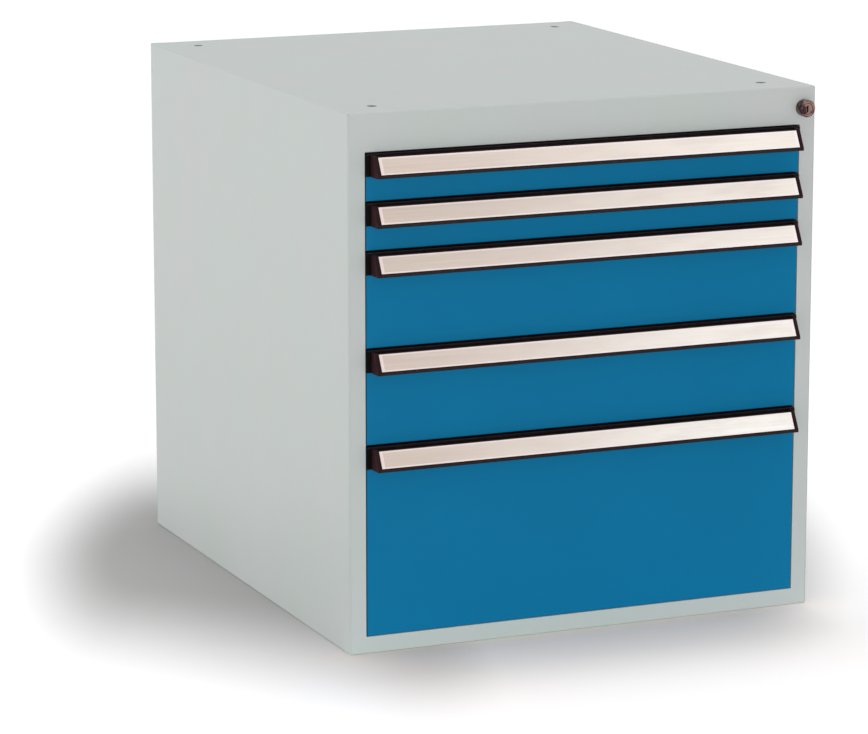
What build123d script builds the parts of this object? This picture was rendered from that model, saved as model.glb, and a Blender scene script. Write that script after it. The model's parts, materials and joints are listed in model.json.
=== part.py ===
from build123d import *
import os
from math import cos, hypot, radians, sin

# Sheet-steel drawer cabinet with five drawers behind one front frame.
# Millimetres. Origin at the middle of the base, +Z up, the front faces -Y.

os.makedirs("parts", exist_ok=True)

# Case
case_width = 525.0
case_depth = 600.0
header_height = 40.0
sill_height = 18.0
post_width = 18.0
case_sheet = 1.2
case_bend = 2.0
seam_flange = 12.0
mouth_bend = 0.8
frame_return = 16.0
post_return = 40.0

# Fixing holes in the top
fixing_hole_inset = 42.5
fixing_hole_inset_depth = 42.0
fixing_hole_radius = 5.25
doubler_size = 42.0
doubler_sheet = 2.0

# Drawer fronts, from the top one down, in steps of one grid
front_grid = 50.0
front_steps = (1, 1, 2, 2, 4)
front_gap_top = 2.5
front_gap_bottom = 0.5
front_gap_side = 1.0
front_depth = 22.0
front_lip = 30.0
drawer_sheet = 1.0
front_edge_radius = 0.8

# Drawer trays
tray_back_gap = 32.0
tray_floor_gap = 5.0
tray_head_gap = 7.0
hem_height = 8.0
front_screw_radius = 2.5
front_screw_head_radius = 4.5
front_screw_head_height = 2.2
front_screw_length = 6.0
front_screw_inset = 10.0
front_screw_rise = 9.0

# Slides, measured inwards from the mouth of the front frame
slide_thickness = 12.7
slide_height = 35.0
slide_sheet = 1.2
slide_play = 0.4
slide_screw_room = 2.2
slide_outer_reach = 10.4
slide_lip = 1.7
slide_centre_rise = 24.0
slide_front_gap = 3.0
slide_outer_length = 550.0
slide_middle_length = 500.0
slide_inner_length = 530.0
slide_web_gap = 1.4

# Rear uprights and slide screws
upright_depth = 40.0
upright_end_inset = 25.0
bend_relief = 1.0
screw_sides = 6
screw_radius = 2.0
screw_play = 0.2
screw_head_radius = 3.5
screw_head_height = 1.6
screw_length = 5.0
screw_front_inset = 9.0

# Grip bar
grip_drop = 24.5
grip_top_reach = 11.0
grip_bottom_reach = 20.0
strip_top_drop = 4.0
strip_bottom_drop = 20.5
grip_plate = 1.2
grip_floor = 1.8
grip_wall = 1.4
grip_rim = 1.2
grip_nose_radius = 1.0
grip_inset = 4.5
cap_thickness = 3.0
cap_tab = 1.5
cap_tab_wrap = 0.6
strip_thickness = 0.8
strip_inset = 1.25
strip_edge = 0.25

# Lock
lock_inset = 14.0
lock_drop = 22.5
lock_collar_radius = 9.0
lock_collar_height = 10.0
lock_collar_edge = 0.8
lock_barrel_radius = 8.0
lock_barrel_length = 10.5
lock_hole_play = 0.2
lock_nut_radius = 11.0
lock_nut_height = 3.5
plug_radius = 5.5
plug_play = 0.3
plug_step = 0.5
keyway_width = 1.6
keyway_height = 7.0
keyway_depth = 8.0
cam_gap = 0.5
cam_radius = 6.5
cam_thickness = 1.8
cam_turn = 90.0
pin_radius = 1.5
pin_reach = 3.6
pin_throw = 4.24

# Lock bar
bar_gap = 0.6
bar_thickness = 2.0
bar_width = 11.8
bar_side_gap = 1.5
bar_below = 24.0
bar_above = 4.0
bar_slot_play = 0.4
tooth_drop = 28.0
tooth_height = 3.0
tooth_reach = 3.0
tooth_play = 1.0
guide_height = 8.0
guide_wall = 1.5
guide_play = 0.3
guide_drops = (28.0, 228.0)

# Places that follow from the sizes
front_pitches = [front_grid * steps for steps in front_steps]
case_height = header_height + sum(front_pitches) + sill_height
front_y = -case_depth / 2
back_y = case_depth / 2
half_width = case_width / 2
inner_half = half_width - case_sheet
mouth_half = half_width - post_width
mouth_low = sill_height
mouth_high = case_height - header_height
front_half = mouth_half - front_gap_side
front_back_y = front_y + front_depth
tray_half = mouth_half - slide_thickness
tray_back_y = back_y - tray_back_gap
slide_y = front_back_y + slide_front_gap
seam_y = front_y + seam_flange
shell_top = case_height - case_sheet
module_tops = [mouth_high - sum(front_pitches[:i]) for i in range(len(front_pitches))]
module_floors = [top - pitch for top, pitch in zip(module_tops, front_pitches)]
slide_levels = [floor + slide_centre_rise for floor in module_floors]
screw_front_y = slide_y + screw_front_inset
upright_y = slide_y + slide_outer_length - upright_end_inset - upright_depth
screw_back_y = upright_y + upright_depth / 2
lock_x = half_width - lock_inset
lock_z = case_height - lock_drop
barrel_back_y = front_y + lock_barrel_length
cam_y = barrel_back_y + cam_gap
pin_y = cam_y + cam_thickness
bar_y = pin_y + bar_gap
bar_back_y = bar_y + bar_thickness
bar_x = mouth_half + case_sheet + bar_side_gap
tooth_x = mouth_half - tooth_reach
pin_rise = pin_throw * sin(radians(cam_turn / 2))
bar_travel = 2 * pin_rise
screw_hole = screw_radius + screw_play
front_screw_hole = front_screw_radius + screw_play
grip_half = front_half - grip_inset - cap_thickness


def block(low, high, mode=Mode.ADD):
    """A rectangular block between two corners, in the part being built."""
    size = [b - a for a, b in zip(low, high)]
    middle = tuple((a + b) / 2 for a, b in zip(low, high))
    with Locations(middle):
        return Box(*size, mode=mode)


def round_bar(radius, centre, y_low, y_high, mode=Mode.ADD):
    """A round bar along Y around (x, z), in the part being built."""
    with BuildSketch(Plane.XZ.offset(-y_low)) as disc:
        with Locations(centre):
            Circle(radius)
    extrude(disc.sketch, amount=y_low - y_high, mode=mode)


def screw_bars(radius, seats, plane, length, mode=Mode.ADD):
    """Small screws' heads, shanks or holes, with a few flats, along a plane's normal."""
    with BuildSketch(plane) as discs:
        with Locations(*seats):
            RegularPolygon(radius, screw_sides)
    extrude(discs.sketch, amount=length, mode=mode)


def screw_seats(y):
    """Centres of the slide screws of all drawers at one depth, as (y, z)."""
    return [(y, level) for level in slide_levels]


def save(part, name):
    part.label = name
    export_step(part, f"parts/{name}.step")


# Front frame: one folded pan with a mouth, and returns around the mouth
with BuildPart() as front_frame:
    block((-half_width, front_y, 0), (half_width, seam_y, case_height))
    fillet(front_frame.edges().filter_by(Axis.Y), radius=case_bend)
    fillet(front_frame.faces().sort_by(Axis.Y)[0].edges(), radius=case_bend)
    offset(amount=-case_sheet, openings=front_frame.faces().sort_by(Axis.Y)[-1])
    block(
        (-mouth_half - case_sheet, front_y + case_sheet, mouth_low - case_sheet),
        (mouth_half + case_sheet, front_y + frame_return, mouth_high + case_sheet),
    )
    for side in (-1, 1):
        flange = sorted((side * mouth_half, side * (mouth_half + case_sheet)))
        block((flange[0], front_y + case_sheet, mouth_low), (flange[1], front_y + post_return, mouth_high))
    block(
        (-mouth_half, front_y, mouth_low),
        (mouth_half, front_y + frame_return, mouth_high),
        mode=Mode.SUBTRACT,
    )
    mouth_edges = front_frame.faces().sort_by(Axis.Y)[0].inner_wires().edges()
    fillet(mouth_edges, radius=mouth_bend)
    screw_bars(screw_hole, screw_seats(screw_front_y), Plane.YZ.offset(-inner_half), 2 * inner_half,
               mode=Mode.SUBTRACT)
    for top in module_tops:
        slot_low = top - tooth_drop - tooth_play
        slot_high = top - tooth_drop + tooth_height + bar_travel + tooth_play
        block((mouth_half, bar_y - tooth_play, slot_low), (bar_x, bar_back_y + tooth_play, slot_high),
              mode=Mode.SUBTRACT)
    round_bar(lock_barrel_radius + lock_hole_play, (lock_x, lock_z), front_y, seam_y, mode=Mode.SUBTRACT)
save(front_frame.part, "front_frame")


# Side panels: outer sheet with folded flanges at the top, base and back
with BuildPart() as side_left:
    block((-half_width, seam_y, 0), (-half_width + seam_flange, back_y, case_height))
    outer_face = side_left.faces().sort_by(Axis.X)[0]
    fillet(outer_face.edges().filter_by(lambda edge: edge.center().Y > seam_y + case_sheet), radius=case_bend)
    open_faces = [side_left.faces().sort_by(Axis.X)[-1], side_left.faces().sort_by(Axis.Y)[0]]
    offset(amount=-case_sheet, openings=open_faces)
save(side_left.part, "side_left")

with BuildPart() as side_right:
    add(mirror(side_left.part, about=Plane.YZ, mode=Mode.PRIVATE))
save(side_right.part, "side_right")


# Back panel, with folded flanges at the top and base
panel_half = half_width - seam_flange
with BuildPart() as back_panel:
    block((-panel_half, back_y - seam_flange, 0), (panel_half, back_y, case_height))
    fillet(back_panel.faces().sort_by(Axis.Y)[-1].edges().filter_by(Axis.X), radius=case_bend)
    open_faces = [back_panel.faces().sort_by(Axis.Y)[0]]
    open_faces += [back_panel.faces().sort_by(Axis.X)[0], back_panel.faces().sort_by(Axis.X)[-1]]
    offset(amount=-case_sheet, openings=open_faces)
save(back_panel.part, "back_panel")


# Top panel with four fixing holes, and the base panel
fixing_x = half_width - fixing_hole_inset
fixing_y = case_depth / 2 - fixing_hole_inset_depth
with BuildPart() as top_panel:
    block((-panel_half, seam_y, shell_top), (panel_half, back_y - seam_flange, case_height))
    with BuildSketch(Plane.XY.offset(shell_top)):
        with GridLocations(2 * fixing_x, 2 * fixing_y, 2, 2):
            Circle(fixing_hole_radius)
    extrude(amount=case_sheet, mode=Mode.SUBTRACT)
save(top_panel.part, "top_panel")

with BuildPart() as base_panel:
    block((-panel_half, seam_y, 0), (panel_half, back_y - seam_flange, case_sheet))
save(base_panel.part, "base_panel")


# Doubler plates under the fixing holes
with BuildPart() as top_doublers:
    with BuildSketch(Plane.XY.offset(shell_top - doubler_sheet)):
        with GridLocations(2 * fixing_x, 2 * fixing_y, 2, 2):
            Rectangle(doubler_size, doubler_size)
            Circle(fixing_hole_radius, mode=Mode.SUBTRACT)
    extrude(amount=doubler_sheet)
save(top_doublers.part, "top_doublers")


# Rear uprights: channels between the side panels and the slides
with BuildPart() as rear_uprights:
    with BuildSketch(Plane.XY.offset(case_sheet + bend_relief)) as section:
        for side in (-1, 1):
            with BuildLine():
                Polyline(
                    (side * inner_half, upright_y),
                    (side * mouth_half, upright_y),
                    (side * mouth_half, upright_y + upright_depth),
                    (side * inner_half, upright_y + upright_depth),
                    (side * inner_half, upright_y + upright_depth - case_sheet),
                    (side * (mouth_half + case_sheet), upright_y + upright_depth - case_sheet),
                    (side * (mouth_half + case_sheet), upright_y + case_sheet),
                    (side * inner_half, upright_y + case_sheet),
                    close=True,
                )
            make_face()
        webs = section.vertices().filter_by(lambda vertex: abs(abs(vertex.X) - mouth_half) < case_sheet / 2)
        fillet(webs, radius=mouth_bend)
    extrude(amount=shell_top - case_sheet - 2 * bend_relief)
    screw_bars(screw_hole, screw_seats(screw_back_y), Plane.YZ.offset(-inner_half), 2 * inner_half,
               mode=Mode.SUBTRACT)
save(rear_uprights.part, "rear_uprights")


def channel_points(web, reach, half_height, lip):
    """Outline of a channel with turned-in lips, as (inward distance, height)."""
    inner = half_height - slide_sheet
    upper = [
        (web + slide_sheet, inner),
        (reach - slide_sheet, inner),
        (reach - slide_sheet, lip),
        (reach, lip),
        (reach, half_height),
        (web, half_height),
    ]
    return upper + [(inward, -height) for inward, height in reversed(upper)]


def hat_points(web, reach, half_height, brim):
    """Outline of a hat section whose brims point away from its middle."""
    inner = half_height - slide_sheet
    upper = [
        (reach - slide_sheet, inner),
        (web, inner),
        (web, brim),
        (web + slide_sheet, brim),
        (web + slide_sheet, half_height),
        (reach, half_height),
    ]
    return upper + [(inward, -height) for inward, height in reversed(upper)]


def slide_members(points, levels, length, y_low):
    """Left and right slide members with one section, at each level."""
    with BuildPart() as members:
        with BuildSketch(Plane.XZ.offset(-y_low)) as section:
            for level in levels:
                with BuildLine():
                    Polyline(*[(mouth_half - inward, level + height) for inward, height in points], close=True)
                make_face()
            mirror(about=Plane.YZ)
        extrude(amount=-length)
    return members


outer_half = slide_height / 2
outer_lip = outer_half - slide_sheet - slide_lip
middle_web = slide_sheet + slide_screw_room
middle_reach = slide_outer_reach - slide_sheet - slide_play
middle_half = outer_half - slide_sheet - slide_play
inner_web = middle_web + slide_sheet + slide_web_gap
middle_lip = middle_half - slide_sheet - slide_lip
inner_brim = middle_half - slide_sheet - slide_play
inner_half_height = middle_lip - slide_play

outer_points = channel_points(0, slide_outer_reach, outer_half, outer_lip)
middle_points = channel_points(middle_web, middle_reach, middle_half, middle_lip)
inner_points = hat_points(inner_web, slide_thickness, inner_half_height, inner_brim)


# Outer slide members of all drawers, and the screws that hold them
slide_outers = slide_members(outer_points, slide_levels, slide_outer_length, slide_y)
with BuildPart() as slide_outer:
    add(slide_outers.part)
    for hole_y in (screw_front_y, screw_back_y):
        screw_bars(screw_hole, screw_seats(hole_y), Plane.YZ.offset(-mouth_half), 2 * mouth_half,
                   mode=Mode.SUBTRACT)
save(slide_outer.part, "slide_outer_members")

with BuildPart() as slide_screws:
    head_x = mouth_half - slide_sheet
    seats = screw_seats(screw_front_y) + screw_seats(screw_back_y)
    screw_bars(screw_head_radius, seats, Plane.YZ.offset(head_x), -screw_head_height)
    screw_bars(screw_radius, seats, Plane.YZ.offset(head_x), screw_length)
    mirror(about=Plane.YZ)
save(slide_screws.part, "slide_screws")


# Outline of the grip bar, as (reach in front of the drawer front, drop below the drawer's top line)
slope_length = hypot(grip_bottom_reach - grip_top_reach, strip_bottom_drop - strip_top_drop)
slope_reach = (grip_bottom_reach - grip_top_reach) / slope_length
slope_drop = (strip_bottom_drop - strip_top_drop) / slope_length


def on_slope(along, inwards):
    """A point on the slanted face, measured from the strip's top edge."""
    reach = grip_top_reach + along * slope_reach - inwards * slope_drop
    drop = strip_top_drop + along * slope_drop + inwards * slope_reach
    return reach, drop


def profile(points, top):
    """Points of reach and drop as Y and Z for a drawer whose top line is at top."""
    return [(front_y - reach, top - drop) for reach, drop in points]


wall_inside = strip_thickness + grip_wall
floor_along = (grip_drop - grip_floor - strip_top_drop - wall_inside * slope_reach) / slope_drop
nose_reach = on_slope(slope_length + grip_rim, 0)[0]
grip_points = [
    on_slope(-grip_rim, 0),
    on_slope(0, 0),
    on_slope(0, strip_thickness),
    on_slope(slope_length, strip_thickness),
    on_slope(slope_length, 0),
    on_slope(slope_length + grip_rim, 0),
    (nose_reach, grip_drop),
    (0, grip_drop),
    (0, front_gap_top),
    (grip_plate, front_gap_top),
    (grip_plate, grip_drop - grip_floor),
    on_slope(floor_along, wall_inside),
    on_slope(-grip_rim, wall_inside),
]
cap_points = [grip_points[0], grip_points[5], grip_points[6], grip_points[7], grip_points[8]]
strip_points = [
    on_slope(0, strip_thickness),
    on_slope(slope_length, strip_thickness),
    on_slope(slope_length, 0),
    on_slope(0, 0),
]


def make_front(top, pitch):
    """Folded drawer front with side lips, and a catch slot for the lock tooth."""
    low = top - pitch + front_gap_bottom
    high = top - front_gap_top
    with BuildPart() as front:
        block((-front_half, front_y, low), (front_half, front_back_y, high))
        fillet(front.faces().sort_by(Axis.Y)[0].edges(), radius=front_edge_radius)
        offset(amount=-drawer_sheet, openings=front.faces().sort_by(Axis.Y)[-1])
        for side in (-1, 1):
            lip = sorted((side * (front_half - drawer_sheet), side * (front_half - front_lip)))
            block(
                (lip[0], front_back_y - drawer_sheet, low + drawer_sheet),
                (lip[1], front_back_y, high - drawer_sheet),
            )
        slot_low = top - tooth_drop - tooth_play
        slot_high = slot_low + tooth_height + 2 * tooth_play
        slot_x = tooth_x - tooth_play
        block(
            (slot_x, bar_y - tooth_play, slot_low),
            (mouth_half, front_back_y, slot_high),
            mode=Mode.SUBTRACT,
        )
        block(
            (slot_x, bar_y - tooth_play, slot_low),
            (mouth_half, bar_back_y + tooth_play, slot_high + bar_travel),
            mode=Mode.SUBTRACT,
        )
        screw_bars(front_screw_hole, screw_places(top, pitch), Plane.XZ.offset(-front_back_y), drawer_sheet,
                   mode=Mode.SUBTRACT)
    return front


def screw_places(top, pitch):
    """Centres of the four screws that hold a front to its tray, as (x, z)."""
    low = top - pitch + tray_floor_gap + front_screw_rise
    high = top - tray_head_gap - hem_height - front_screw_rise
    across = tray_half - front_screw_inset
    return [(side * across, level) for side in (-1, 1) for level in (low, high)]


def make_front_screws(top, pitch):
    """Pan-head screws through the tray's front wall into the lips of the front."""
    seat = Plane.XZ.offset(-front_back_y - drawer_sheet)
    with BuildPart() as screws:
        screw_bars(front_screw_head_radius, screw_places(top, pitch), seat, -front_screw_head_height)
        screw_bars(front_screw_radius, screw_places(top, pitch), seat, front_screw_length)
    return screws


def make_tray(top, pitch):
    """Open tray of five sheets welded edge to edge; its four walls have hemmed rims."""
    low = top - pitch + tray_floor_gap
    high = top - tray_head_gap
    hem_low = high - hem_height
    wall = drawer_sheet
    near = front_back_y + wall
    far = tray_back_y - wall
    with BuildPart() as bottom:
        block((-tray_half + wall, near, low), (tray_half - wall, far, low + wall))
    with BuildPart() as side_wall:
        block((tray_half - wall, near, low), (tray_half, far, high))
        block((tray_half - 2 * wall, near + wall, hem_low), (tray_half - wall, far - wall, high))
    with BuildPart() as front_wall:
        block((-tray_half, front_back_y, low), (tray_half, near, high))
        block((-tray_half + wall, near, hem_low), (tray_half - wall, near + wall, high))
        screw_bars(front_screw_hole, screw_places(top, pitch), Plane.XZ.offset(-front_back_y), -wall,
                   mode=Mode.SUBTRACT)
    with BuildPart() as back_wall:
        block((-tray_half, far, low), (tray_half, tray_back_y, high))
        block((-tray_half + wall, far - wall, hem_low), (tray_half - wall, far, high))
    other_side = mirror(side_wall.part, about=Plane.YZ)
    return Compound([bottom.part, side_wall.part, other_side, front_wall.part, back_wall.part])


def make_grip(top):
    """Extruded grip bar with a finger channel open at the top."""
    with BuildPart() as grip:
        with BuildSketch(Plane.YZ.offset(-grip_half)) as section:
            with BuildLine():
                Polyline(*profile(grip_points, top), close=True)
            make_face()
            nose = section.vertices().sort_by(Axis.X)[:2].sort_by(Axis.Y)[0]
            fillet(nose, radius=grip_nose_radius)
        extrude(amount=2 * grip_half)
    return grip


def make_caps(top):
    """End caps of the grip bar, each with a flat tab on the drawer front."""
    with BuildPart() as caps:
        with BuildSketch(Plane.YZ.offset(grip_half)) as section:
            with BuildLine():
                Polyline(*profile(cap_points, top), close=True)
            make_face()
            nose = section.vertices().sort_by(Axis.X)[:2].sort_by(Axis.Y)[0]
            fillet(nose, radius=grip_nose_radius)
        extrude(amount=cap_thickness)
        block(
            (grip_half + cap_thickness, front_y - cap_tab, top - grip_drop),
            (front_half + cap_tab_wrap, front_y, top - front_gap_top),
        )
        mirror(about=Plane.YZ)
    return caps


def make_strip(top):
    """Label strip in the groove of the grip bar."""
    with BuildPart() as strip:
        with BuildSketch(Plane.YZ.offset(-grip_half + strip_inset)):
            with BuildLine():
                Polyline(*profile(strip_points, top), close=True)
            make_face()
        extrude(amount=2 * (grip_half - strip_inset))
        strip_face = strip.faces().filter_by(lambda face: face.normal_at().Z > 0.1).sort_by(Axis.Y)[0]
        chamfer(strip_face.edges(), length=strip_edge)
    return strip


# Drawers, from the top one down
for number, (top, pitch) in enumerate(zip(module_tops, front_pitches), start=1):
    level = top - pitch + slide_centre_rise
    save(make_tray(top, pitch), f"drawer_{number}_tray")
    save(make_front(top, pitch).part, f"drawer_{number}_front")
    save(make_front_screws(top, pitch).part, f"drawer_{number}_screws")
    save(make_grip(top).part, f"drawer_{number}_grip")
    save(make_caps(top).part, f"drawer_{number}_grip_caps")
    save(make_strip(top).part, f"drawer_{number}_label_strip")
    inner = slide_members(inner_points, [level], slide_inner_length, slide_y)
    save(inner.part, f"drawer_{number}_slide_inner")
    middle = slide_members(middle_points, [level], slide_middle_length, slide_y)
    save(middle.part, f"drawer_{number}_slide_middle")


# Lock: housing in the header, its nut, and the key plug with its cam
with BuildPart() as lock_housing:
    round_bar(lock_collar_radius, (lock_x, lock_z), front_y - lock_collar_height, front_y)
    rim = lock_housing.faces().sort_by(Axis.Y)[0].edges()
    chamfer(rim, length=lock_collar_edge)
    round_bar(lock_barrel_radius, (lock_x, lock_z), front_y, barrel_back_y)
    round_bar(plug_radius + plug_play, (lock_x, lock_z), front_y - lock_collar_height, barrel_back_y,
              mode=Mode.SUBTRACT)
save(lock_housing.part, "lock_housing")

nut_y = front_y + case_sheet
with BuildPart() as lock_nut:
    with BuildSketch(Plane.XZ.offset(-nut_y)):
        with Locations((lock_x, lock_z)):
            RegularPolygon(lock_nut_radius, 6)
            Circle(lock_barrel_radius + lock_hole_play / 2, mode=Mode.SUBTRACT)
    extrude(amount=-lock_nut_height)
save(lock_nut.part, "lock_nut")

plug_front_y = front_y - lock_collar_height + plug_step
with BuildPart() as lock_plug:
    round_bar(plug_radius, (lock_x, lock_z), plug_front_y, cam_y)
    block(
        (lock_x - keyway_width / 2, plug_front_y, lock_z - keyway_height / 2),
        (lock_x + keyway_width / 2, plug_front_y + keyway_depth, lock_z + keyway_height / 2),
        mode=Mode.SUBTRACT,
    )
save(lock_plug.part, "lock_plug")

pin_x = lock_x + pin_throw * cos(radians(cam_turn / 2))
pin_z = lock_z - pin_rise
with BuildPart() as lock_cam:
    round_bar(cam_radius, (lock_x, lock_z), cam_y, pin_y)
    round_bar(pin_radius, (pin_x, pin_z), pin_y, pin_y + pin_reach)
save(lock_cam.part, "lock_cam")


# Lock bar: a flat strip with one tooth for each drawer, lifted by the cam pin
bar_low = module_tops[-1] - bar_below - tooth_drop
bar_high = pin_z + pin_radius + bar_slot_play + bar_above
slot_near = pin_x - pin_radius - bar_slot_play
slot_far = lock_x + pin_throw + pin_radius + bar_slot_play
with BuildPart() as lock_bar:
    block((bar_x, bar_y, bar_low), (bar_x + bar_width, bar_back_y, bar_high))
    for top in module_tops:
        tooth_low = top - tooth_drop
        block((tooth_x, bar_y, tooth_low), (bar_x, bar_back_y, tooth_low + tooth_height))
    with BuildSketch(Plane.XZ.offset(-bar_y)):
        with Locations(((slot_near + slot_far) / 2, pin_z)):
            SlotOverall(slot_far - slot_near, 2 * (pin_radius + bar_slot_play))
    extrude(amount=-bar_thickness, mode=Mode.SUBTRACT)
save(lock_bar.part, "lock_bar")


# Guides that hold the lock bar against the post
with BuildPart() as lock_guides:
    for drop in guide_drops:
        guide_top = mouth_high - drop - tooth_drop
        guide_x = mouth_half + case_sheet
        guide_far = bar_x + bar_width + guide_play
        block(
            (guide_x, bar_y - guide_play - guide_wall, guide_top - guide_height),
            (guide_far + guide_wall, bar_back_y + guide_play + guide_wall, guide_top),
        )
        block(
            (bar_x - guide_play, bar_y - guide_play, guide_top - guide_height),
            (guide_far, bar_back_y + guide_play, guide_top),
            mode=Mode.SUBTRACT,
        )
save(lock_guides.part, "lock_bar_guides")
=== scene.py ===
"""Sheet-steel drawer cabinet: finishes, rounded fittings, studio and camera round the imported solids."""
import json
from math import hypot, radians

import bmesh
import bpy
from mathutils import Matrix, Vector


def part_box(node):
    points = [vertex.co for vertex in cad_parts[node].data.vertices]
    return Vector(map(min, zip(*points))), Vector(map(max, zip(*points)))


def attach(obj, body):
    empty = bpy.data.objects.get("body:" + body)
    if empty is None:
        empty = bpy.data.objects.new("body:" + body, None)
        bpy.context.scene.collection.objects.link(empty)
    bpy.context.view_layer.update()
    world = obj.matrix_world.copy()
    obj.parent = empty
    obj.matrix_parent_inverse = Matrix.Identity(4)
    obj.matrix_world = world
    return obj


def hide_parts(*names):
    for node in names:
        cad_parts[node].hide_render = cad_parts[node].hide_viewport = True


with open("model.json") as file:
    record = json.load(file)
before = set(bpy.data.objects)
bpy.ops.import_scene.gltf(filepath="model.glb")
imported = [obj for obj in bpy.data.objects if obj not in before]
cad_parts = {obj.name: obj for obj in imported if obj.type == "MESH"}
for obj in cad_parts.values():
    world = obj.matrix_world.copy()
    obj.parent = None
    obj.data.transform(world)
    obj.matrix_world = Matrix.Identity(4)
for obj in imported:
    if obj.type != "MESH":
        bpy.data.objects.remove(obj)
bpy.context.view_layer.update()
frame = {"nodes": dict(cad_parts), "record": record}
record = frame["record"]

# Places that the fittings share with the solids, in metres
front_y, back_y = -0.300, 0.300
joint_line, weld_line, weld_pitch = 0.2505, 0.2560, 0.080
case_half, bend_start = 0.2625, 0.2600
grid = 0.050
strip_top, strip_bottom = 0.004, 0.0205
strip_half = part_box("drawer_1_label_strip")[1][0]
cap_body = 0.003
cap_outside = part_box("drawer_1_grip")[1][0] + cap_body
front_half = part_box("drawer_1_front")[1][0]
gap_above = 0.0025
drawer_numbers = range(1, 6)
drawer_tops = [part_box(f"drawer_{number}_front")[1][2] + gap_above for number in drawer_numbers]
body_of = {node: body for body, nodes in record["behaviour"]["bodies"].items() for node in nodes}
slot_of = {row["node"]: row["material_slot"] for row in record["subparts"]}

# Corners of one mesh that lie closer than this, in metres, are one corner
merge_distance = 1e-6


# Arithmetic on sockets

class Value:
    """An output socket that takes part in plain arithmetic; [name] gives another output of its node."""

    def __init__(self, nodes, socket):
        self.nodes = nodes
        self.socket = socket

    def __getitem__(self, name):
        return Value(self.nodes, self.socket.node.outputs[name])

    def __add__(self, other):
        return self.nodes.math("ADD", self, other)

    def __radd__(self, other):
        return self.nodes.math("ADD", other, self)

    def __sub__(self, other):
        return self.nodes.math("SUBTRACT", self, other)

    def __rsub__(self, other):
        return self.nodes.math("SUBTRACT", other, self)

    def __mul__(self, other):
        return self.nodes.math("MULTIPLY", self, other)

    def __rmul__(self, other):
        return self.nodes.math("MULTIPLY", other, self)

    def __truediv__(self, other):
        return self.nodes.math("DIVIDE", self, other)

    def __rtruediv__(self, other):
        return self.nodes.math("DIVIDE", other, self)

    def __pow__(self, other):
        return self.nodes.math("POWER", self, other)

    def __mod__(self, other):
        return self.nodes.math("FLOORED_MODULO", self, other)

    def __gt__(self, other):
        return self.nodes.math("GREATER_THAN", self, other)

    def __abs__(self):
        return self.nodes.math("ABSOLUTE", self)

    def between(self, low, high):
        """A smooth step from 0 at low to 1 at high; low may be the greater of the two."""
        limits = {"Value": self, "From Min": low, "From Max": high}
        return self.nodes.add("ShaderNodeMapRange", {"interpolation_type": "SMOOTHSTEP"}, limits)


class Nodes:
    """Adds nodes to one tree, of a material or of a geometry modifier."""

    def __init__(self, tree):
        self.tree = tree

    def add(self, kind, settings=None, sockets=None, output=0):
        """One node: its settings first, then the values or links of its sockets."""
        node = self.tree.nodes.new(kind)
        for name, setting in (settings or {}).items():
            setattr(node, name, setting)
        for key, value in (sockets or {}).items():
            for one in value if isinstance(value, list) else [value]:
                if isinstance(one, Value):
                    self.tree.links.new(one.socket, node.inputs[key])
                else:
                    node.inputs[key].default_value = one
        return Value(self, node.outputs[output]) if node.outputs else None

    def math(self, operation, *values):
        """A Math node on values and numbers."""
        return self.add("ShaderNodeMath", {"operation": operation}, dict(enumerate(values)))

    def mixed(self, factor, colour, other, blend="MIX"):
        """From one colour at factor 0 to its blend with the other at 1."""
        # A Mix node's colour sockets go by number, because their names come up once for each data type
        first, second, result = 6, 7, 2
        settings = {"data_type": "RGBA", "blend_type": blend}
        return self.add("ShaderNodeMix", settings, {0: factor, first: colour, second: other}, result)

    def place(self):
        """The point on the surface, in metres."""
        return self.add("ShaderNodeTexCoord", output="Object")

    def coordinates(self):
        """The same point's ["X"], ["Y"] and ["Z"]."""
        return self.add("ShaderNodeSeparateXYZ", {}, {0: self.place()})

    def noise(self, scales, detail=2.0, roughness=0.5):
        """Noise with this many features in each metre: one number, or one each along X, Y and Z."""
        scales = scales if isinstance(scales, tuple) else (scales, scales, scales)
        stretched = self.add("ShaderNodeVectorMath", {"operation": "MULTIPLY"}, {0: self.place(), 1: scales})
        return self.add("ShaderNodeTexNoise", {}, {
            "Vector": stretched, "Scale": 1.0, "Detail": detail, "Roughness": roughness,
        })

    def bump(self, height, strength, depth, under=None):
        """A bumped normal, over another one where under has it."""
        return self.add("ShaderNodeBump", {}, {
            "Height": height, "Strength": strength, "Distance": depth, **(under or {}),
        })


# Finishes. Tones are linear, noises are in features for each metre and depths are in metres

def finish(name, fixed, varied):
    """A material: fixed values on the shader's own sockets, and the sockets that varied(nodes) feeds."""
    made = bpy.data.materials.new(name)
    made.use_nodes = True
    made.node_tree.nodes.clear()
    nodes = Nodes(made.node_tree)
    shader = nodes.add("ShaderNodeBsdfPrincipled", {}, {**fixed, **varied(nodes)})
    nodes.add("ShaderNodeOutputMaterial", {}, {"Surface": shader})
    return made


def powder_coat(tone, other_tone, grain, roughness):
    """Baked powder coat: two close tones in wide patches, and the fine skin of an orange."""
    def varied(nodes):
        patches = nodes.noise(9.0, detail=3.0)
        skin = nodes.noise(grain, roughness=0.55)
        return {
            "Base Color": nodes.mixed(patches.between(0.3, 0.7), tone, other_tone),
            "Roughness": roughness + 0.12 * (skin - 0.5) + 0.1 * (patches - 0.5),
            "Normal": nodes.bump(skin, strength=0.16, depth=0.00012),
        }
    return varied


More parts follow.
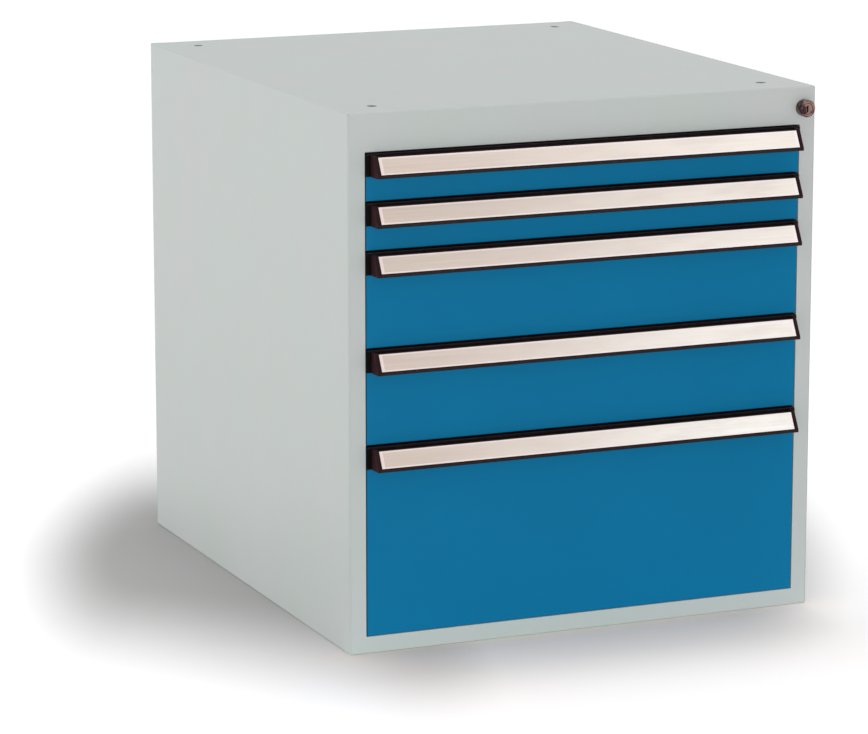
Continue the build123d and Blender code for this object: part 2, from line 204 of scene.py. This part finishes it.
def welded_case(nodes):
    """The case's powder coat, with painted shade on the upright bends, painted shadow lines at the back's two
    joints, and weld marks.
    """
    grey, other_grey = (0.548, 0.602, 0.578, 1.0), (0.572, 0.598, 0.590, 1.0)
    # Tones of the painted shadow in the back's joints, which also darkens the weld marks a little, and of the
    # painted shade on the upright bends
    joint_shadow_and_mark_tone, bend_shade_tone = (0.10, 0.11, 0.11, 1.0), (0.38, 0.42, 0.41, 1.0)
    joint_outside, joint_inside = 0.0009, 0.0003
    mark_outside, mark_inside = 0.0028, 0.0014
    back_skin, dimple = 0.0005, 0.0003
    bend_end = case_half - 0.0006
    round_start, round_end = back_y - 0.0030, back_y - 0.0012
    coat = powder_coat(grey, other_grey, grain=750.0, roughness=0.46)(nodes)
    spot = nodes.coordinates()
    side, depth = abs(spot["X"]), abs(spot["Y"])
    behind = spot["Y"] > back_y - back_skin
    # Painted shadow: a dark line along each of the back's two joints
    joint_shadow = abs(side - joint_line).between(joint_outside, joint_inside) * behind
    along = spot["Z"] % weld_pitch - weld_pitch / 2
    from_mark = ((side - weld_line) ** 2 + along * along) ** 0.5
    mark = from_mark.between(mark_outside, mark_inside) * behind
    # Painted shade: the upright bends are darkened half way towards a darker grey
    painted_bend_shade = side.between(bend_start, bend_end) * depth.between(round_start, round_end)
    coat["Base Color"] = nodes.mixed(0.6 * joint_shadow + 0.12 * mark, coat["Base Color"], joint_shadow_and_mark_tone)
    coat["Base Color"] = nodes.mixed(0.5 * painted_bend_shade, coat["Base Color"], bend_shade_tone)
    coat["Normal"] = nodes.bump(1.0 - mark, strength=1.0, depth=dimple, under={"Normal": coat["Normal"]})
    return coat


def zinc_plate(nodes):
    """Bright zinc on rolled strip: long drawing marks and faint crystal patches."""
    bright, clouded = (0.60, 0.61, 0.62, 1.0), (0.50, 0.52, 0.56, 1.0)
    drawn = nodes.noise((900.0, 14.0, 900.0), detail=3.0)
    crystals = nodes.add("ShaderNodeTexVoronoi", {}, {"Vector": nodes.place(), "Scale": 420.0}, "Color")
    bloom = nodes.noise(60.0, detail=3.0)
    tone = nodes.mixed(bloom.between(0.35, 0.7), bright, clouded)
    return {
        "Base Color": nodes.mixed(0.06, tone, crystals),
        "Roughness": 0.30 + 0.18 * (drawn - 0.5) + 0.14 * (bloom - 0.5),
        "Normal": nodes.bump(drawn, strength=0.12, depth=0.00005),
    }


def drawn_black(nodes):
    """Black anodised extrusion with fine die lines along the bar."""
    black, dusty = (0.010, 0.005, 0.006, 1.0), (0.018, 0.011, 0.012, 1.0)
    lines = nodes.noise((6.0, 1500.0, 1500.0), detail=3.0)
    dust = nodes.noise(220.0, detail=4.0)
    return {
        "Base Color": nodes.mixed(dust.between(0.35, 0.75), black, dusty),
        "Roughness": 0.36 + 0.16 * (lines - 0.5) + 0.1 * (dust - 0.5),
        "Normal": nodes.bump(lines, strength=0.15, depth=0.00005),
    }


def moulded(nodes):
    """Dark moulded plastic with a fine spark-eroded grain, and black where the cap's flat tab is."""
    dark, warmer = (0.023, 0.008, 0.010, 1.0), (0.033, 0.012, 0.015, 1.0)
    tab_black = (0.002, 0.001, 0.001, 1.0)
    grain = nodes.noise(1600.0)
    flow = nodes.noise(70.0, detail=3.0)
    side = abs(nodes.coordinates()["X"])
    tone = nodes.mixed(flow.between(0.3, 0.7), dark, warmer)
    return {
        "Base Color": nodes.mixed(side > cap_outside, tone, tab_black),
        "Roughness": 0.50 + 0.15 * (grain - 0.5) + 0.08 * (flow - 0.5),
        "Normal": nodes.bump(grain, strength=0.2, depth=0.00008),
    }


def brushed_strip(nodes):
    """Warm face brushed along the strip inside a lighter border, with a painted reflection that makes it
    paler to the right and lower down.
    """
    left = (0.63, 0.52, 0.46, 1.0)
    upper_right_reflection, lower_right_reflection = (0.93, 0.86, 0.80, 1.0), (1.0, 0.97, 0.93, 1.0)
    border_left, border_right_reflection = (0.84, 0.71, 0.68, 1.0), (0.95, 0.88, 0.86, 1.0)
    streak_tone, cloud_tone = (0.78, 0.71, 0.61, 1.0), (0.64, 0.51, 0.47, 1.0)
    border_outside, border_inside = 0.0013, 0.0021
    thinner_below, wider_at_ends = 1.15, 0.5
    spot = nodes.coordinates()
    # Painted reflection: the face and the border grow paler to the right, and the face also lower down
    reflection_rightwards, downwards = spot["X"].between(-0.26, 0.24), spot["Z"].between(0.47, 0.18)
    drop = (drawer_tops[0] - spot["Z"]) % grid
    from_edge = nodes.math("MINIMUM", drop - strip_top, (strip_bottom - drop) * thinner_below)
    from_end = (strip_half - abs(spot["X"])) * wider_at_ends
    inside = nodes.math("MINIMUM", from_edge, from_end).between(border_outside, border_inside)
    streaks = nodes.noise((9.0, 420.0, 420.0), detail=4.0, roughness=0.6)
    cloud = nodes.noise((14.0, 60.0, 60.0), detail=3.0)
    tone = nodes.mixed(reflection_rightwards, left, nodes.mixed(downwards, upper_right_reflection, lower_right_reflection))
    tone = nodes.mixed(0.35 * streaks.between(0.35, 0.75), tone, streak_tone)
    tone = nodes.mixed(0.25 * cloud.between(0.4, 0.7), tone, cloud_tone)
    border = nodes.mixed(reflection_rightwards, border_left, border_right_reflection)
    return {
        "Base Color": nodes.mixed(inside, border, tone),
        "Roughness": 0.30 + 0.2 * (streaks - 0.5) + 0.08 * inside,
        "Normal": nodes.bump(streaks, strength=0.1, depth=0.00006),
    }


def dark_chrome(nodes):
    """Polished plate whose dark tone and paler, browner patches are painted reflections, with handling marks.
    """
    # Painted reflections: a dark tone for dark surroundings, and paler, browner patches for highlights
    reflection_pale, dark = (0.17, 0.105, 0.09, 1.0), (0.035, 0.018, 0.02, 1.0)
    marks = nodes.noise(260.0, detail=4.0)
    patches = nodes.noise(170.0)
    return {
        "Base Color": nodes.mixed(patches.between(0.44, 0.58), reflection_pale, dark),
        "Roughness": 0.16 + 0.2 * (marks - 0.5),
        "Normal": nodes.bump(marks, strength=0.08, depth=0.00008),
    }


blue_coat = powder_coat((0.0, 0.176, 0.362, 1.0), (0.0, 0.182, 0.374, 1.0), grain=750.0, roughness=0.48)
tray_coat = powder_coat((0.500, 0.545, 0.530, 1.0), (0.512, 0.545, 0.535, 1.0), grain=950.0, roughness=0.40)
finishes = {
    "case_paint": finish("light_grey_powder_coat", {"Specular IOR Level": 0.35}, welded_case),
    "front_paint": finish("blue_powder_coat", {"Specular IOR Level": 0.1}, blue_coat),
    "tray_paint": finish("light_grey_tray_coat", {"Specular IOR Level": 0.4}, tray_coat),
    "zinc_steel": finish("bright_zinc_plate", {"Metallic": 1.0}, zinc_plate),
    "grip_black": finish("black_anodised_extrusion", {"Specular IOR Level": 0.14}, drawn_black),
    "cap_black": finish("dark_moulded_plastic", {"Specular IOR Level": 0.07}, moulded),
    "strip_aluminium": finish("warm_brushed_strip", {"Metallic": 0.8}, brushed_strip),
    "lock_chrome": finish("polished_lock_plate", {"Metallic": 1.0}, dark_chrome),
}

for node, cad_object in frame["nodes"].items():
    if node in slot_of:
        if not cad_object.material_slots:
            cad_object.data.materials.append(None)
        for material_slot in cad_object.material_slots:
            material_slot.material = finishes[slot_of[node]]


# Making pieces

def stands_for(piece, node):
    """The piece rides with a solid and is shown in its place."""
    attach(piece, body_of[node])
    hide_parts(node)
    slot_of[node]


def even_shading(piece, angle=35.0):
    """Smooth over rounded edges and flat on flat faces; edges sharper than the angle stay sharp."""
    piece.data.shade_smooth()
    piece.data.set_sharp_from_angle(angle=radians(angle))
    weights = piece.modifiers.new("Even shading", "WEIGHTED_NORMAL")
    weights.keep_sharp = True
    weights.weight = 100


def merged_solid(node):
    """A copy of a node's mesh with its loose triangles joined, to be edited and then freed."""
    form = bmesh.new()
    form.from_mesh(frame["nodes"][node].data)
    bmesh.ops.remove_doubles(form, verts=form.verts, dist=merge_distance)
    return form


def softened(node, radius, segments=3):
    """A solid's shape again, merged, with its sharp edges rounded."""
    form = merged_solid(node)
    bmesh.ops.dissolve_limit(form, angle_limit=radians(1.0), verts=form.verts, edges=form.edges)
    mesh = bpy.data.meshes.new(f"{node}_rounded")
    form.to_mesh(mesh)
    form.free()
    if "custom_normal" in mesh.attributes:
        mesh.attributes.remove(mesh.attributes["custom_normal"])
    mesh.materials.clear()
    mesh.materials.append(finishes[slot_of[node]])
    for polygon in mesh.polygons:
        polygon.material_index = 0
    piece = bpy.data.objects.new(f"{node}_rounded", mesh)
    bpy.context.collection.objects.link(piece)
    edges = piece.modifiers.new("Rounded edges", "BEVEL")
    edges.width = radius
    edges.segments = segments
    edges.limit_method = "ANGLE"
    edges.angle_limit = radians(40.0)
    edges.use_clamp_overlap = True
    even_shading(piece, angle=50.0)
    stands_for(piece, node)


def loose_solids(node):
    """The separate solids of a node, each as its corner points, in a fixed order."""
    form = merged_solid(node)
    waiting = set(form.verts)
    solids = []
    for first in form.verts:
        if first not in waiting:
            continue
        waiting.remove(first)
        reached = [first]
        for vert in reached:
            for edge in vert.link_edges:
                other = edge.other_vert(vert)
                if other in waiting:
                    waiting.remove(other)
                    reached.append(other)
        solids.append([vert.co.copy() for vert in reached])
    form.free()
    return sorted(solids, key=lambda corners: tuple(round(v, 5) for v in min(corners, key=tuple)))


def geometry_tree(name, inputs):
    """A geometry tree with named inputs: its nodes, and the node that gives what comes in."""
    tree = bpy.data.node_groups.new(name, "GeometryNodeTree")
    tree.interface.new_socket("Geometry", in_out="INPUT", socket_type="NodeSocketGeometry")
    for label in inputs:
        tree.interface.new_socket(label, in_out="INPUT", socket_type="NodeSocketFloat")
    tree.interface.new_socket("Geometry", in_out="OUTPUT", socket_type="NodeSocketGeometry")
    nodes = Nodes(tree)
    return nodes, nodes.add("NodeGroupInput")


def end_tree(nodes, shape, material):
    """The tree's last nodes: plain geometry with its material."""
    plain = nodes.add("GeometryNodeRealizeInstances", {}, {"Geometry": shape})
    dressed = nodes.add("GeometryNodeSetMaterial", {}, {"Geometry": plain, "Material": material})
    nodes.add("NodeGroupOutput", {}, {"Geometry": dressed})
    return nodes.tree


def grown(name, tree, start_mesh, inputs):
    """A piece with the plain mesh that a geometry tree makes of a start mesh."""
    piece = bpy.data.objects.new(name, start_mesh)
    bpy.context.collection.objects.link(piece)
    modifier = piece.modifiers.new("Form", "NODES")
    modifier.node_group = tree
    for socket in tree.interface.items_tree:
        if socket.in_out == "INPUT" and socket.name in inputs:
            modifier[socket.identifier] = inputs[socket.name]
    depsgraph = bpy.context.evaluated_depsgraph_get()
    mesh = bpy.data.meshes.new_from_object(piece.evaluated_get(depsgraph), depsgraph=depsgraph)
    piece.modifiers.remove(modifier)
    piece.data = mesh
    form = bmesh.new()
    form.from_mesh(mesh)
    bmesh.ops.remove_doubles(form, verts=form.verts, dist=merge_distance)
    bmesh.ops.recalc_face_normals(form, faces=form.faces)
    form.to_mesh(mesh)
    form.free()
    return piece


# Grip bars: one extruded section, with the die's own small radii. Reach is forwards from the front's face,
# and drop is downwards from the drawer's top line

grip_drop = 0.0245
top_reach, bottom_reach = 0.011, 0.020
plate, channel_floor, wall = 0.0012, 0.0018, 0.0014
rim, groove = 0.0012, 0.0008
slope = hypot(bottom_reach - top_reach, strip_bottom - strip_top)
slope_reach = (bottom_reach - top_reach) / slope
slope_drop = (strip_bottom - strip_top) / slope


def on_slope(along, inwards):
    """A point of the slanted face as reach and drop, measured from the strip's top edge."""
    return (
        top_reach + along * slope_reach - inwards * slope_drop,
        strip_top + along * slope_drop + inwards * slope_reach,
    )


wall_inside = groove + wall
floor_along = (grip_drop - channel_floor - strip_top - wall_inside * slope_reach) / slope_drop
die_radius, nose_radius, sharp = 0.0003, 0.0010, 0.0
radius_segments = 4
grip_section = [
    (*on_slope(-rim, 0), die_radius),
    (*on_slope(0, 0), sharp),
    (*on_slope(0, groove), sharp),
    (*on_slope(slope, groove), sharp),
    (*on_slope(slope, 0), sharp),
    (*on_slope(slope + rim, 0), die_radius),
    (on_slope(slope + rim, 0)[0], grip_drop, nose_radius),
    (0.0, grip_drop, die_radius),
    (0.0, gap_above, die_radius),
    (plate, gap_above, die_radius),
    (plate, grip_drop - channel_floor, die_radius),
    (*on_slope(floor_along, wall_inside), die_radius),
    (*on_slope(-rim, wall_inside), die_radius),
]

# The hook lies on the front's top edge, with its lip over the grip's plate
hook_depth, hook_sheet, lip_reach = 0.0100, 0.0012, 0.0015
hook_section = [
    (lip_reach, gap_above - hook_sheet, die_radius),
    (lip_reach, gap_above, sharp),
    (-hook_depth, gap_above, sharp),
    (-hook_depth, gap_above - hook_sheet, die_radius),
]


def section_mesh(corners):
    """A section as a closed line in its own plane, with a radius for each corner."""
    mesh = bpy.data.meshes.new("section")
    count = len(corners)
    mesh.from_pydata([(reach, drop, 0.0) for reach, drop, _ in corners],
                     [(i, (i + 1) % count) for i in range(count)], [])
    radii = mesh.attributes.new("corner_radius", "FLOAT", "POINT")
    radii.data.foreach_set("value", [radius for _, _, radius in corners])
    return mesh


def grip_tree():
    """Extrudes a section along X, centred, and sets it under a drawer's top line."""
    nodes, given = geometry_tree("Grip bar", ("Length", "Front", "Top"))
    radius = nodes.add("GeometryNodeInputNamedAttribute", {"data_type": "FLOAT"}, {"Name": "corner_radius"})
    line = nodes.add("GeometryNodeMeshToCurve", {}, {"Mesh": given["Geometry"]})
    rounded = nodes.add("GeometryNodeFilletCurve", {"mode": "POLY"}, {
        "Curve": line, "Count": radius_segments, "Radius": radius, "Limit Radius": True,
    })
    start = nodes.add("ShaderNodeCombineXYZ", {}, {"X": given["Length"] * -0.5})
    end = nodes.add("ShaderNodeCombineXYZ", {}, {"X": given["Length"] * 0.5})
    axis = nodes.add("GeometryNodeCurvePrimitiveLine", {}, {"Start": start, "End": end})
    bar = nodes.add("GeometryNodeCurveToMesh", {}, {
        "Curve": axis, "Profile Curve": rounded, "Fill Caps": True,
    })
    seat = nodes.add("ShaderNodeCombineXYZ", {}, {"Y": given["Front"], "Z": given["Top"]})
    placed = nodes.add("GeometryNodeTransform", {}, {"Geometry": bar, "Translation": seat})
    return end_tree(nodes, placed, finishes["grip_black"])


grip_low, grip_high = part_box("drawer_1_grip")
grip_length = grip_high[0] - grip_low[0]
bar_tree = grip_tree()
for number, top in zip(drawer_numbers, drawer_tops):
    bar = grown(f"grip_bar_{number}", bar_tree, section_mesh(grip_section),
                {"Length": grip_length, "Front": front_y, "Top": top})
    even_shading(bar)
    stands_for(bar, f"drawer_{number}_grip")
    hook = grown(f"grip_hook_{number}", bar_tree, section_mesh(hook_section),
                 {"Length": 2 * front_half, "Front": front_y, "Top": top})
    even_shading(hook)
    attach(hook, f"drawer_{number}")

# Small edge radii of the other fittings
for number in drawer_numbers:
    softened(f"drawer_{number}_grip_caps", radius=0.0004)
    softened(f"drawer_{number}_label_strip", radius=0.0002, segments=2)
softened("lock_housing", radius=0.0003)
softened("lock_plug", radius=0.0002)
softened("back_panel", radius=0.0004, segments=2)


# Screws: one pan head with a cross recess, set on a point for each solid screw

def screw_tree():
    """Sets a pan-head screw on each point, with its head along the point's axis and a random turn."""
    # In head radii: the dome's width, cut off at the head's side, and the recess's two slots
    dome_width, slot_length, slot_width = 1.08, 1.15, 0.26
    # In head heights, where the shank starts, and in shank lengths, where it ends and how long its tip is
    root_height, end_depth, tip_length = 0.3, -0.9, 0.15
    # In shank radii, the tip's two ends
    tip_wide, tip_narrow = 0.96, 0.6
    head_sides, shank_sides = 24, 16
    nodes, given = geometry_tree("Pan-head screws", (
        "Head Radius", "Head Height", "Shank Radius", "Shank Length",
    ))
    radius, height = given["Head Radius"], given["Head Height"]
    shank_radius, length = given["Shank Radius"], given["Shank Length"]
    dome = nodes.add("GeometryNodeMeshUVSphere", {}, {"Segments": head_sides, "Rings": 16, "Radius": 1.0})
    stretch = nodes.add("ShaderNodeCombineXYZ", {}, {
        "X": radius * dome_width, "Y": radius * dome_width, "Z": height,
    })
    dome = nodes.add("GeometryNodeTransform", {}, {"Geometry": dome, "Scale": stretch})
    drum = nodes.add("GeometryNodeMeshCylinder", {}, {
        "Vertices": head_sides, "Radius": radius, "Depth": 2.0 * height,
    })
    lift = nodes.add("ShaderNodeCombineXYZ", {}, {"Z": height})
    drum = nodes.add("GeometryNodeTransform", {}, {"Geometry": drum, "Translation": lift})
    head = nodes.add("GeometryNodeMeshBoolean", {"operation": "INTERSECT", "solver": "EXACT"}, {
        "Mesh 2": [dome, drum],
    })
    slots = []
    for wide, deep in ((slot_length, slot_width), (slot_width, slot_length)):
        size = nodes.add("ShaderNodeCombineXYZ", {}, {"X": radius * wide, "Y": radius * deep, "Z": height})
        slot = nodes.add("GeometryNodeMeshCube", {}, {"Size": size})
        slots.append(nodes.add("GeometryNodeTransform", {}, {"Geometry": slot, "Translation": lift}))
    head = nodes.add("GeometryNodeMeshBoolean", {"operation": "DIFFERENCE", "solver": "EXACT"}, {
        "Mesh 1": head, "Mesh 2": slots,
    })
    shank_root, shank_end = height * root_height, length * end_depth
    shank = nodes.add("GeometryNodeMeshCylinder", {}, {
        "Vertices": shank_sides, "Radius": shank_radius, "Depth": shank_root - shank_end,
    })
    sink = nodes.add("ShaderNodeCombineXYZ", {}, {"Z": (shank_root + shank_end) * 0.5})
    shank = nodes.add("GeometryNodeTransform", {}, {"Geometry": shank, "Translation": sink})
    tip = nodes.add("GeometryNodeMeshCone", {}, {
        "Vertices": shank_sides, "Radius Top": shank_radius * tip_wide,
        "Radius Bottom": shank_radius * tip_narrow, "Depth": length * tip_length,
    })
    fall = nodes.add("ShaderNodeCombineXYZ", {}, {"Z": length * -1.0})
    tip = nodes.add("GeometryNodeTransform", {}, {"Geometry": tip, "Translation": fall})
    screw = nodes.add("GeometryNodeJoinGeometry", {}, {"Geometry": [head, shank, tip]})
    axis = nodes.add("GeometryNodeInputNamedAttribute", {"data_type": "FLOAT_VECTOR"}, {"Name": "axis"})
    facing = nodes.add("FunctionNodeAlignRotationToVector", {"axis": "Z"}, {"Vector": axis})
    screws = nodes.add("GeometryNodeInstanceOnPoints", {}, {
        "Points": given["Geometry"], "Instance": screw, "Rotation": facing,
    })
    # The random number's float sockets go by number, because their names come up once for each data type
    lowest, highest, result = 2, 3, 1
    turn = nodes.add("FunctionNodeRandomValue", {"data_type": "FLOAT"}, {
        lowest: 0.0, highest: radians(90.0), "Seed": 7,
    }, result)
    spin = nodes.add("ShaderNodeCombineXYZ", {}, {"Z": turn})
    screws = nodes.add("GeometryNodeRotateInstances", {}, {
        "Instances": screws, "Rotation": spin, "Local Space": True,
    })
    return end_tree(nodes, screws, finishes["zinc_steel"])


def fit_screws(node, facing, sizes):
    """Screws where a node has them, with heads that face the way facing(middle) says."""
    seats, axes = [], []
    for corners in loose_solids(node):
        low = Vector(map(min, zip(*corners)))
        high = Vector(map(max, zip(*corners)))
        middle = (low + high) / 2
        axis = Vector(facing(middle))
        top = max(axis.dot(corner) for corner in corners)
        seats.append(middle + axis * (top - sizes["Head Height"] - axis.dot(middle)))
        axes.append(axis)
    mesh = bpy.data.meshes.new("seats")
    mesh.from_pydata(seats, [], [])
    mesh.attributes.new("axis", "FLOAT_VECTOR", "POINT").data.foreach_set(
        "vector", [part for axis in axes for part in axis])
    piece = grown(f"{node}_pan_heads", screws_tree, mesh, sizes)
    even_shading(piece, angle=40.0)
    stands_for(piece, node)


def towards_middle(middle):
    """Slide screws have their heads inside the cabinet."""
    return (-1.0 if middle.x > 0 else 1.0, 0.0, 0.0)


def towards_back(middle):
    """Front screws have their heads inside the drawer."""
    return (0.0, 1.0, 0.0)


screws_tree = screw_tree()
fit_screws("slide_screws", towards_middle, {
    "Head Radius": 0.0035, "Head Height": 0.0016, "Shank Radius": 0.0020, "Shank Length": 0.0050,
})
for number in drawer_numbers:
    fit_screws(f"drawer_{number}_screws", towards_back, {
        "Head Radius": 0.0045, "Head Height": 0.0022, "Shank Radius": 0.0025, "Shank Length": 0.0060,
    })


# Floor, lamps, world and camera

def camera_or_mirror(nodes):
    """1 for what the camera sees straight on, in a mirror or through glass, and 0 for plain lighting."""
    path = nodes.add("ShaderNodeLightPath")
    seen = nodes.math("MAXIMUM", path["Is Camera Ray"], path["Is Glossy Ray"])
    return nodes.math("MAXIMUM", seen, path["Is Transmission Ray"])


def from_line(nodes, spot, start, end):
    """How far a point (across, deep) is from the line between two others."""
    run = [b - a for a, b in zip(start, end)]
    share = sum((spot[i] - start[i]) * run[i] for i in (0, 1)) / (run[0] ** 2 + run[1] ** 2)
    share = nodes.math("MINIMUM", nodes.math("MAXIMUM", share, 0.0), 1.0)
    miss = [spot[i] - start[i] - share * run[i] for i in (0, 1)]
    return (miss[0] * miss[0] + miss[1] * miss[1]) ** 0.5


def before_front(spot, depths, halves):
    """1 on the floor before the front, fading out between two depths from it and two half widths."""
    under_case, past_front = -0.03, 0.01
    before = front_y - spot["Y"]
    full_depth, no_depth = depths
    full_half, no_half = halves
    started = before.between(under_case, past_front)
    return started * before.between(no_depth, full_depth) * abs(spot["X"]).between(no_half, full_half)


def floor_seen_with_painted_shadow(nodes, spot):
    """The floor as it is looked at: a painted shadow in grey by the left side and the front, white further
    off.
    """
    # The painted shadow lies round two lines under the cabinet, whose ends are given as (across, deep). Deep
    # is counted short, so the painted shadow reaches further that way
    across = 0.92 * spot["X"] - 0.39 * spot["Y"]
    deep = 0.118 * spot["X"] + 0.279 * spot["Y"]
    side_line = (-0.354, 0.015), (-0.060, -0.025)
    front_line = (-0.090, -0.005), (0.268, 0.030)
    painted_shadow_until, pale_from, pale_until, white_from = 0.04, 0.175, 0.2, 3.0
    # The grey colour here is the painted shadow; pale and white lie further off
    grey, pale, white = (0.58, 0.57, 0.57, 1.0), (1.46, 1.44, 1.45, 1.0), (3.0, 3.0, 3.0, 1.0)
    away = nodes.math("MINIMUM", from_line(nodes, (across, deep), *side_line),
                      from_line(nodes, (across, deep), *front_line))
    seen = nodes.mixed(away.between(painted_shadow_until, pale_from), grey, pale)
    seen = nodes.mixed(away.between(pale_until, white_from), seen, white)
    # The blue fronts throw their colour on the floor before them, and this takes it out; near the front it
    # also lightens the floor, a painted light
    less_blue, less_blue_and_lifted_near = (1.0, 0.940, 0.875, 1.0), (1.12, 1.03, 0.955, 1.0)
    near = (front_y - spot["Y"]).between(0.10, 0.02)
    against_blue = nodes.mixed(near, less_blue, less_blue_and_lifted_near)
    lit_blue = before_front(spot, depths=(0.04, 0.40), halves=(0.20, 0.34))
    return nodes.mixed(lit_blue, seen, against_blue, "MULTIPLY")


def floor_bounce(nodes, spot):
    """The floor as it lights the cabinet: like a pale card, and at the foot of the front brighter than a card
    can be, a painted glow that lifts the sill.
    """
    card, painted_foot_glow = (0.88, 0.87, 0.86, 1.0), (1.20, 1.34, 1.30, 1.0)
    foot = before_front(spot, depths=(0.06, 0.14), halves=(0.27, 0.34))
    return nodes.mixed(foot, card, painted_foot_glow)


def studio_floor(reach):
    """A wide pale floor that keeps the cabinet's cast shadow, with a painted shadow by the left side and the
    front, and a painted glow at the foot of the front.
    """
    corners = [(-reach, -reach, 0), (reach, -reach, 0), (reach, reach, 0), (-reach, reach, 0)]
    mesh = bpy.data.meshes.new("studio_floor")
    mesh.from_pydata(corners, [], [(0, 1, 2, 3)])
    made = bpy.data.materials.new("pale_studio_floor")
    made.use_nodes = True
    made.node_tree.nodes.clear()
    nodes = Nodes(made.node_tree)
    spot = nodes.coordinates()
    colour = nodes.mixed(camera_or_mirror(nodes), floor_bounce(nodes, spot), floor_seen_with_painted_shadow(nodes, spot))
    shader = nodes.add("ShaderNodeBsdfDiffuse", {}, {"Color": colour})
    nodes.add("ShaderNodeOutputMaterial", {}, {"Surface": shader})
    mesh.materials.append(made)
    floor = bpy.data.objects.new("studio_floor", mesh)
    bpy.context.collection.objects.link(floor)


def studio_world(strength):
    """Even light from all round, over a white background."""
    world = bpy.data.worlds.new("studio")
    bpy.context.scene.world = world
    world.use_nodes = True
    world.node_tree.nodes.clear()
    nodes = Nodes(world.node_tree)
    level = camera_or_mirror(nodes) * (1.0 - strength) + strength
    light = nodes.add("ShaderNodeBackground", {}, {"Color": (1.0, 1.0, 1.0, 1.0), "Strength": level})
    nodes.add("ShaderNodeOutputWorld", {}, {"Surface": light})


def softbox(name, place, aim, watts, size):
    """A rectangular lamp that faces a point."""
    light = bpy.data.lights.new(name, "AREA")
    light.shape = "RECTANGLE"
    light.size, light.size_y = size
    light.energy = watts
    lamp = bpy.data.objects.new(name, light)
    bpy.context.collection.objects.link(lamp)
    lamp.location = place
    lamp.rotation_euler = (Vector(aim) - Vector(place)).to_track_quat("-Z", "Y").to_euler()


studio_floor(reach=60.0)
studio_world(strength=0.42)
cabinet_middle = (0.0, 0.0, 0.28)
softbox("left_side", (-5.20, 0.40, 0.55), cabinet_middle, watts=81.0, size=(3.0, 1.4))
softbox("low_front", (-0.90, -5.20, 0.55), cabinet_middle, watts=92.0, size=(3.0, 1.4))
softbox("overhead", (0.30, 0.20, 4.60), cabinet_middle, watts=66.0, size=(2.6, 2.6))

camera_place = (-1.722, -3.955, 1.132)
camera_tilt, camera_yaw = radians(78.08), radians(-23.01)
camera_data = bpy.data.cameras.new("camera")
camera_data.lens = 165.9
camera_data.sensor_width = 36.0
camera = bpy.data.objects.new("camera", camera_data)
bpy.context.collection.objects.link(camera)
camera.location = camera_place
camera.rotation_euler = (camera_tilt, 0.0, camera_yaw)
bpy.context.scene.camera = camera
bpy.context.scene.view_settings.view_transform = "Standard"
